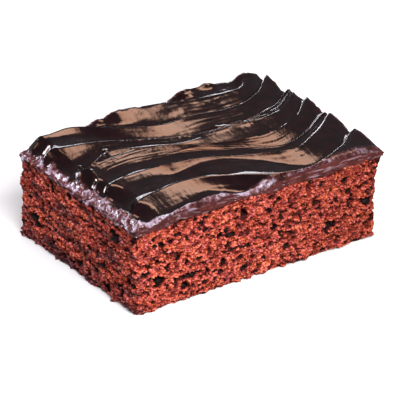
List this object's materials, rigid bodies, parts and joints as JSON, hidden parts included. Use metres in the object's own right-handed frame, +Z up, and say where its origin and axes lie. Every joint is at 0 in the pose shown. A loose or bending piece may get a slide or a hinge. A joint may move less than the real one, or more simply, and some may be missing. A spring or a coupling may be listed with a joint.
{
  "type": "iced chocolate brownie",
  "caption": "Rectangular slab of open-crumbed chocolate cake under a thick layer of icing swept into waving ridges, with torn crumb on its cut sides and a flat underside.",
  "frame": {"origin": "middle of the footprint, at the level the brownie rests on", "axes": "+X along the long side, away from the end where the swirls begin; +Y towards the far long side, away from the long side that the picture shows; +Z up"},
  "size_m": [0.0872, 0.0632, 0.0328],
  "materials": {
    "crumb": "moist, rough, open cake crumb",
    "icing": "glossy dark chocolate icing"
  },
  "bodies": {
    "root": {"cake": "crumb", "icing": "icing"}
  },
  "joints": []
}
